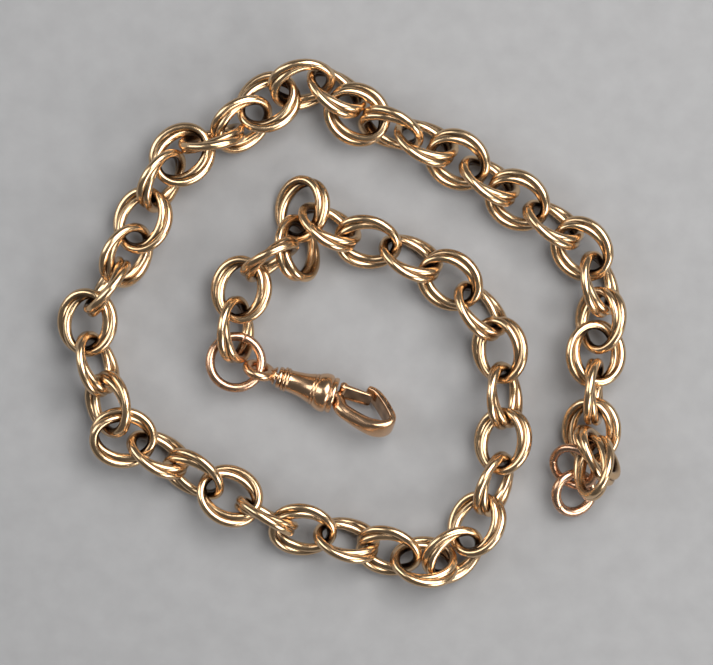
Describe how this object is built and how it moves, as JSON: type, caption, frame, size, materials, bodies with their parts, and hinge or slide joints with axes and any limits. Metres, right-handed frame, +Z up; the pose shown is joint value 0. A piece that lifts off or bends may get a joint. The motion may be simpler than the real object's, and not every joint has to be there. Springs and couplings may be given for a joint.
{
  "type": "watch chain",
  "caption": "Coiled chain of twisted-wire oval links with a swivel clip at one end and a plain ring at the other; fastens a small article to clothing.",
  "frame": {"origin": "centre of the footprint, on the table the chain lies on", "axes": "+Z up out of the table; +X to the right and +Y away from the viewer looking straight down, with the swivel hook pointing towards +X"},
  "size_m": [0.0942, 0.0872, 0.0138],
  "materials": {
    "link_gold": "polished yellow-rose gold",
    "ring_gold": "polished redder gold, lightly worn",
    "swivel_gold": "bright polished gold, lightly scratched"
  },
  "bodies": {
    "end_ring": {"end_ring": "ring_gold"},
    "gate": {"gate": "swivel_gold"},
    "jump_ring": {"jump_ring": "ring_gold"},
    "link_01": {"link_01": "link_gold"},
    "link_02": {"link_02": "link_gold"},
    "link_03": {"link_03": "link_gold"},
    "link_04": {"link_04": "link_gold"},
    "link_05": {"link_05": "link_gold"},
    "link_06": {"link_06": "link_gold"},
    "link_07": {"link_07": "link_gold"},
    "link_08": {"link_08": "link_gold"},
    "link_09": {"link_09": "link_gold"},
    "link_10": {"link_10": "link_gold"},
    "link_11": {"link_11": "link_gold"},
    "link_12": {"link_12": "link_gold"},
    "link_13": {"link_13": "link_gold"},
    "link_14": {"link_14": "link_gold"},
    "link_15": {"link_15": "link_gold"},
    "link_16": {"link_16": "link_gold"},
    "link_17": {"link_17": "link_gold"},
    "link_18": {"link_18": "link_gold"},
    "link_19": {"link_19": "link_gold"},
    "link_20": {"link_20": "link_gold"},
    "link_21": {"link_21": "link_gold"},
    "link_22": {"link_22": "link_gold"},
    "link_23": {"link_23": "link_gold"},
    "link_24": {"link_24": "link_gold"},
    "link_25": {"link_25": "link_gold"},
    "link_26": {"link_26": "link_gold"},
    "link_27": {"link_27": "link_gold"},
    "link_28": {"link_28": "link_gold"},
    "link_29": {"link_29": "link_gold"},
    "link_30": {"link_30": "link_gold"},
    "link_31": {"link_31": "link_gold"},
    "link_32": {"link_32": "link_gold"},
    "link_33": {"link_33": "link_gold"},
    "link_34": {"link_34": "link_gold"},
    "link_35": {"link_35": "link_gold"},
    "link_36": {"link_36": "link_gold"},
    "link_37": {"link_37": "link_gold"},
    "link_38": {"link_38": "link_gold"},
    "link_39": {"link_39": "link_gold"},
    "link_40": {"link_40": "link_gold"},
    "link_41": {"link_41": "link_gold"},
    "link_42": {"link_42": "link_gold"},
    "link_43": {"link_43": "link_gold"},
    "link_44": {"link_44": "link_gold"},
    "link_45": {"link_45": "link_gold"},
    "link_46": {"link_46": "link_gold"},
    "link_47": {"link_47": "link_gold"},
    "link_48": {"link_48": "link_gold"},
    "link_49": {"link_49": "link_gold"},
    "link_50": {"link_50": "link_gold"},
    "link_51": {"link_51": "link_gold"},
    "link_52": {"link_52": "link_gold"},
    "link_53": {"link_53": "link_gold"},
    "small_ring": {"small_ring": "ring_gold"},
    "swivel_barrel": {"barrel": "swivel_gold", "hook": "swivel_gold"},
    "swivel_eye": {"swivel_eye": "swivel_gold"}
  },
  "joints": [
    {"name": "link_26_on_link_25", "type": "hinge", "parent": "link_25", "child": "link_26", "pos_m": [-0.03676, -0.0179, 0.00615], "axis": [-0.6308, -0.3343, -0.7002], "range_deg": [-7, 16]},
    {"name": "link_27_on_link_26", "type": "hinge", "parent": "link_26", "child": "link_27", "pos_m": [-0.04003, -0.00893, 0.00481], "axis": [0.6308, 0.3343, 0.7002], "range_deg": [-16, 30]},
    {"name": "link_28_on_link_27", "type": "hinge", "parent": "link_27", "child": "link_28", "pos_m": [-0.042, -0.00201, 0.00436], "axis": [-0.5241, -0.0984, 0.846], "range_deg": [-13, 30]},
    {"name": "link_29_on_link_28", "type": "hinge", "parent": "link_28", "child": "link_29", "pos_m": [-0.04143, 0.00494, 0.005], "axis": [0.9661, -0.1541, 0.2071], "range_deg": [-30, 7]},
    {"name": "link_30_on_link_29", "type": "hinge", "parent": "link_29", "child": "link_30", "pos_m": [-0.0362, 0.01008, 0.005], "axis": [-0.2195, 0.1072, -0.9697], "range_deg": [-30, 7]},
    {"name": "link_31_on_link_30", "type": "hinge", "parent": "link_30", "child": "link_31", "pos_m": [-0.03323, 0.01564, 0.00422], "axis": [-0.6238, 0.3591, 0.6942], "range_deg": [-13, 30]},
    {"name": "link_32_on_link_31", "type": "hinge", "parent": "link_31", "child": "link_32", "pos_m": [-0.03096, 0.02146, 0.00428], "axis": [0.8517, -0.3971, 0.342], "range_deg": [-28, 30]},
    {"name": "link_33_on_link_32", "type": "hinge", "parent": "link_32", "child": "link_33", "pos_m": [-0.03014, 0.02485, 0.00468], "axis": [-0.6278, 0.7753, -0.0698], "range_deg": [-30, 30]},
    {"name": "link_34_on_link_33", "type": "hinge", "parent": "link_33", "child": "link_34", "pos_m": [-0.02265, 0.03092, 0.00468], "axis": [-0.6278, 0.7753, -0.0698], "range_deg": [-30, 30]},
    {"name": "link_35_on_link_34", "type": "hinge", "parent": "link_34", "child": "link_35", "pos_m": [-0.02019, 0.03022, 0.00408], "axis": [0.4575, -0.5856, -0.6691], "range_deg": [-30, 7]},
    {"name": "link_36_on_link_35", "type": "hinge", "parent": "link_35", "child": "link_36", "pos_m": [-0.01624, 0.03396, 0.00428], "axis": [-0.5118, 0.7881, -0.342], "range_deg": [-30, 13]},
    {"name": "link_37_on_link_36", "type": "hinge", "parent": "link_36", "child": "link_37", "pos_m": [-0.00815, 0.03921, 0.00428], "axis": [0.5118, -0.7881, 0.342], "range_deg": [-16, 30]},
    {"name": "link_38_on_link_37", "type": "hinge", "parent": "link_37", "child": "link_38", "pos_m": [-0.00474, 0.04139, 0.00454], "axis": [-0.3537, -0.4694, 0.809], "range_deg": [-7, 30]},
    {"name": "link_39_on_link_38", "type": "hinge", "parent": "link_38", "child": "link_39", "pos_m": [0.00296, 0.03559, 0.00454], "axis": [0.3537, 0.4694, -0.809], "range_deg": [-30, 10]},
    {"name": "link_40_on_link_39", "type": "hinge", "parent": "link_39", "child": "link_40", "pos_m": [0.00651, 0.03175, 0.00458], "axis": [0.5855, 0.8059, 0.0872], "range_deg": [-16, 30]},
    {"name": "link_41_on_link_40", "type": "hinge", "parent": "link_40", "child": "link_41", "pos_m": [0.01277, 0.03038, 0.00459], "axis": [-0.1985, -0.4913, -0.848], "range_deg": [-30, 4]},
    {"name": "link_42_on_link_41", "type": "hinge", "parent": "link_41", "child": "link_42", "pos_m": [0.01517, 0.02957, 0.00428], "axis": [-0.4775, -0.7948, -0.3746], "range_deg": [-30, 30]},
    {"name": "link_43_on_link_42", "type": "hinge", "parent": "link_42", "child": "link_43", "pos_m": [0.02344, 0.0246, 0.00428], "axis": [-0.4775, -0.7948, -0.3746], "range_deg": [-30, 30]},
    {"name": "link_44_on_link_43", "type": "hinge", "parent": "link_43", "child": "link_44", "pos_m": [0.02516, 0.02301, 0.00448], "axis": [0.505, 0.7776, 0.3746], "range_deg": [-30, 30]},
    {"name": "link_45_on_link_44", "type": "hinge", "parent": "link_44", "child": "link_45", "pos_m": [0.03325, 0.01776, 0.00448], "axis": [0.505, 0.7776, 0.3746], "range_deg": [-30, 30]},
    {"name": "link_46_on_link_45", "type": "hinge", "parent": "link_45", "child": "link_46", "pos_m": [0.03668, 0.01587, 0.00438], "axis": [-0.6938, -0.6247, -0.3584], "range_deg": [-30, 30]},
    {"name": "link_47_on_link_46", "type": "hinge", "parent": "link_46", "child": "link_47", "pos_m": [0.04313, 0.00871, 0.00438], "axis": [-0.6938, -0.6247, -0.3584], "range_deg": [-30, 30]},
    {"name": "link_48_on_link_47", "type": "hinge", "parent": "link_47", "child": "link_48", "pos_m": [0.04385, 0.00193, 0.00445], "axis": [-0.5261, -0.141, 0.8387], "range_deg": [-10, 30]},
    {"name": "link_49_on_link_48", "type": "hinge", "parent": "link_48", "child": "link_49", "pos_m": [0.0424, -0.00431, 0.00428], "axis": [-0.7506, 0.0789, -0.6561], "range_deg": [-16, 7]},
    {"name": "link_50_on_link_49", "type": "hinge", "parent": "link_49", "child": "link_50", "pos_m": [0.0421, -0.00982, 0.00482], "axis": [-0.9744, 0.0157, 0.2244], "range_deg": [-30, 30]},
    {"name": "link_51_on_link_50", "type": "hinge", "parent": "link_50", "child": "link_51", "pos_m": [0.04164, -0.01613, 0.00498], "axis": [-0.2248, 0.0079, 0.9744], "range_deg": [-30, 30]},
    {"name": "link_52_on_link_51", "type": "hinge", "parent": "link_51", "child": "link_52", "pos_m": [0.03955, -0.01809, 0.00753], "axis": [-0.124, -0.5277, 0.8403], "range_deg": [-13, 16]},
    {"name": "link_53_on_link_52", "type": "hinge", "parent": "link_52", "child": "link_53", "pos_m": [0.04158, -0.01928, 0.00715], "axis": [-0.5503, -0.3181, -0.772], "range_deg": [-13, 13]},
    {"name": "small_ring_on_link_53", "type": "hinge", "parent": "link_53", "child": "small_ring", "pos_m": [0.04147, -0.02296, 0.00698], "axis": [0.4283, -0.8461, -0.3172], "range_deg": [-10, 10]},
    {"name": "end_ring_on_small_ring", "type": "hinge", "parent": "small_ring", "child": "end_ring", "pos_m": [0.03878, -0.02685, 0.00314], "axis": [0.9143, -0.1429, 0.379], "range_deg": [-25, 19]},
    {"name": "link_24_on_link_25", "type": "hinge", "parent": "link_25", "child": "link_24", "pos_m": [-0.03135, -0.01949, 0.0045], "axis": [0.1393, 0.978, 0.1553], "range_deg": [-10, 30]},
    {"name": "link_23_on_link_24", "type": "hinge", "parent": "link_24", "child": "link_23", "pos_m": [-0.02622, -0.02392, 0.0046], "axis": [0.2921, 0.477, -0.8289], "range_deg": [-25, 30]},
    {"name": "link_22_on_link_23", "type": "hinge", "parent": "link_23", "child": "link_22", "pos_m": [-0.02031, -0.02767, 0.00466], "axis": [0.3263, 0.5221, 0.788], "range_deg": [-30, 30]},
    {"name": "link_21_on_link_22", "type": "hinge", "parent": "link_22", "child": "link_21", "pos_m": [-0.01428, -0.03085, 0.00495], "axis": [-0.4725, -0.8315, 0.2922], "range_deg": [-30, 30]},
    {"name": "link_20_on_link_21", "type": "hinge", "parent": "link_21", "child": "link_20", "pos_m": [-0.01118, -0.03363, 0.00448], "axis": [-0.101, -0.8229, -0.5592], "range_deg": [-30, 4]},
    {"name": "link_19_on_link_20", "type": "hinge", "parent": "link_20", "child": "link_19", "pos_m": [-0.00161, -0.0348, 0.00448], "axis": [0.101, 0.8229, 0.5592], "range_deg": [-30, 30]},
    {"name": "link_18_on_link_19", "type": "hinge", "parent": "link_19", "child": "link_18", "pos_m": [0.00546, -0.03706, 0.00436], "axis": [0.1593, 0.5947, -0.788], "range_deg": [-30, 16]},
    {"name": "link_17_on_link_18", "type": "hinge", "parent": "link_18", "child": "link_17", "pos_m": [0.01256, -0.03896, 0.00428], "axis": [0.1983, 0.7399, 0.6428], "range_deg": [-16, 30]},
    {"name": "link_16_on_link_17", "type": "hinge", "parent": "link_17", "child": "link_16", "pos_m": [0.0185, -0.04002, 0.00428], "axis": [0.0789, 0.7506, -0.6561], "range_deg": [-10, 10]},
    {"name": "link_15_on_link_16", "type": "hinge", "parent": "link_16", "child": "link_15", "pos_m": [0.02235, -0.03518, 0.00428], "axis": [0.4891, -0.604, -0.6293], "range_deg": [-30, 30]},
    {"name": "link_14_on_link_15", "type": "hinge", "parent": "link_15", "child": "link_14", "pos_m": [0.02449, -0.02902, 0.00468], "axis": [0.7716, -0.3932, 0.5], "range_deg": [-30, 30]},
    {"name": "link_13_on_link_14", "type": "hinge", "parent": "link_14", "child": "link_13", "pos_m": [0.02587, -0.02426, 0.00498], "axis": [-0.8851, 0.1561, -0.4384], "range_deg": [-30, 30]},
    {"name": "link_12_on_link_13", "type": "hinge", "parent": "link_13", "child": "link_12", "pos_m": [0.02754, -0.01477, 0.00498], "axis": [0.8851, -0.1561, 0.4384], "range_deg": [-30, 30]},
    {"name": "link_11_on_link_12", "type": "hinge", "parent": "link_12", "child": "link_11", "pos_m": [0.02657, -0.0071, 0.00479], "axis": [-0.5286, -0.037, 0.848], "range_deg": [-30, 22]},
    {"name": "link_10_on_link_11", "type": "hinge", "parent": "link_11", "child": "link_10", "pos_m": [0.02553, 0.00036, 0.00488], "axis": [-0.8576, -0.1205, -0.5], "range_deg": [-30, 30]},
    {"name": "link_09_on_link_10", "type": "hinge", "parent": "link_10", "child": "link_09", "pos_m": [0.01987, 0.00593, 0.00434], "axis": [-0.4568, -0.3699, 0.809], "range_deg": [-30, 30]},
    {"name": "link_08_on_link_09", "type": "hinge", "parent": "link_09", "child": "link_08", "pos_m": [0.01421, 0.01005, 0.00448], "axis": [0.5785, 0.7405, 0.342], "range_deg": [-30, 30]},
    {"name": "link_07_on_link_08", "type": "hinge", "parent": "link_08", "child": "link_07", "pos_m": [0.00711, 0.01318, 0.00436], "axis": [0.2795, 0.5486, -0.788], "range_deg": [-30, 30]},
    {"name": "link_06_on_link_07", "type": "hinge", "parent": "link_07", "child": "link_06", "pos_m": [-0.00036, 0.01424, 0.00478], "axis": [-0.1297, -0.8188, -0.5592], "range_deg": [-30, 30]},
    {"name": "link_05_on_link_06", "type": "hinge", "parent": "link_06", "child": "link_05", "pos_m": [-0.00623, 0.01857, 0.00475], "axis": [0.2805, 0.4668, -0.8387], "range_deg": [-22, 30]},
    {"name": "link_04_on_link_05", "type": "hinge", "parent": "link_05", "child": "link_04", "pos_m": [-0.00754, 0.01708, 0.00313], "axis": [-0.677, 0.1319, 0.7241], "range_deg": [-30, 22]},
    {"name": "link_03_on_link_04", "type": "hinge", "parent": "link_04", "child": "link_03", "pos_m": [-0.00828, 0.01336, 0.00829], "axis": [0.493, 0.0567, -0.8682], "range_deg": [-30, 7]},
    {"name": "link_02_on_link_03", "type": "hinge", "parent": "link_03", "child": "link_02", "pos_m": [-0.01511, 0.00802, 0.00406], "axis": [-0.493, -0.0567, 0.8682], "range_deg": [-28, 30]},
    {"name": "link_01_on_link_02", "type": "hinge", "parent": "link_02", "child": "link_01", "pos_m": [-0.0176, 0.00087, 0.00428], "axis": [-0.9633, 0.2047, -0.1736], "range_deg": [-30, 30]},
    {"name": "jump_ring_on_link_01", "type": "hinge", "parent": "link_01", "child": "jump_ring", "pos_m": [-0.01758, -0.00583, 0.00456], "axis": [-0.4999, 0.0087, 0.866], "range_deg": [-30, 10]},
    {"name": "swivel_eye_on_jump_ring", "type": "hinge", "parent": "jump_ring", "child": "swivel_eye", "pos_m": [-0.01347, -0.00786, 0.00368], "axis": [-0.336, -0.9389, 0.0742], "range_deg": [-30, 30]},
    {"name": "barrel_turns_on_eye", "type": "hinge", "parent": "swivel_eye", "child": "swivel_barrel", "pos_m": [-0.00583, -0.01042, 0.00378], "axis": [0.9478, -0.319, 0], "continuous": true},
    {"name": "gate_on_hook", "type": "hinge", "parent": "swivel_barrel", "child": "gate", "pos_m": [0.0002, -0.01114, 0.00295], "axis": [-0.1784, -0.53, -0.829], "range_deg": [0, 30], "stiffness_Nm_per_rad": 0.002}
  ]
}
